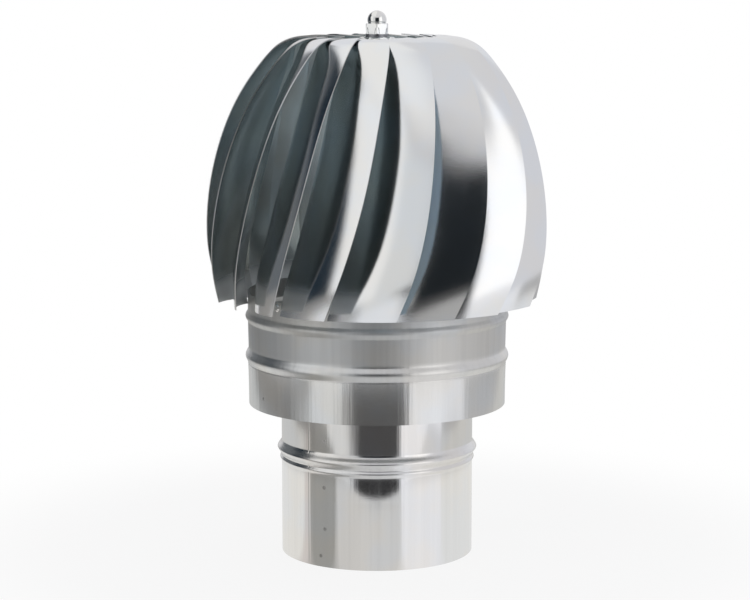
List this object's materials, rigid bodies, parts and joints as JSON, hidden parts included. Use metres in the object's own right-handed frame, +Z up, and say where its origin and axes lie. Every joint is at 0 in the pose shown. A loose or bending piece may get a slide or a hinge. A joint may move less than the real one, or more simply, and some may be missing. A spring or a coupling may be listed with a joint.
{
  "type": "rotary chimney cowl",
  "caption": "Chimney cowl with a wind-driven head of twisted overlapping sheet blades on a bearing axle, a beaded skirt ring, and a round beaded spigot that slides into a flue.",
  "frame": {"origin": "centre of the spigot's lower edge, on the axis the head turns about", "axes": "+Z up along the axle towards the domed nut, -Y towards the side shown in the picture"},
  "size_m": [0.2649, 0.265, 0.4229],
  "materials": {
    "rolled_sheet": "bright zinc-coated rolled sheet",
    "blade_sheet": "bright smooth zinc-coated sheet",
    "bar_steel": "zinc-coated flat bar",
    "turned_steel": "turned, satin",
    "bearing_steel": "ground and polished",
    "spring_steel": "dark spring steel",
    "plated_fasteners": "bright zinc plate"
  },
  "bodies": {
    "base": {"spigot_tube": "rolled_sheet", "lower_bridge": "bar_steel", "upper_bridge": "bar_steel", "bridge_rivets": "plated_fasteners", "bearing_housing": "turned_steel", "lower_bearing_outer": "bearing_steel", "upper_bearing_outer": "bearing_steel", "lower_bearing_balls": "bearing_steel", "upper_bearing_balls": "bearing_steel", "lower_retaining_ring": "spring_steel", "upper_retaining_ring": "spring_steel"},
    "head": {"lower_bearing_inner": "bearing_steel", "upper_bearing_inner": "bearing_steel", "bearing_spacer": "turned_steel", "axle": "turned_steel", "lower_shim": "turned_steel", "upper_shim": "turned_steel", "lower_axle_nut": "plated_fasteners", "upper_stop_nut": "plated_fasteners", "spider_lower_nut": "plated_fasteners", "spider_upper_nut": "plated_fasteners", "spider_bar": "bar_steel", "spider_rivets": "plated_fasteners", "skirt_collar": "rolled_sheet", "top_disc": "blade_sheet", "hub_flange": "turned_steel", "hub_rivets": "plated_fasteners", "flat_washer": "plated_fasteners", "spring_washer": "spring_steel", "acorn_nut": "plated_fasteners", "blade_01": "blade_sheet", "blade_02": "blade_sheet", "blade_03": "blade_sheet", "blade_04": "blade_sheet", "blade_05": "blade_sheet", "blade_06": "blade_sheet", "blade_07": "blade_sheet", "blade_08": "blade_sheet", "blade_09": "blade_sheet", "blade_10": "blade_sheet", "blade_11": "blade_sheet", "blade_12": "blade_sheet", "blade_13": "blade_sheet", "blade_14": "blade_sheet", "blade_15": "blade_sheet", "blade_16": "blade_sheet", "blade_17": "blade_sheet"}
  },
  "joints": [
    {"name": "head_spin", "type": "hinge", "parent": "base", "child": "head", "pos_m": [0, 0, 0.14], "axis": [0, 0, 1], "continuous": true}
  ]
}
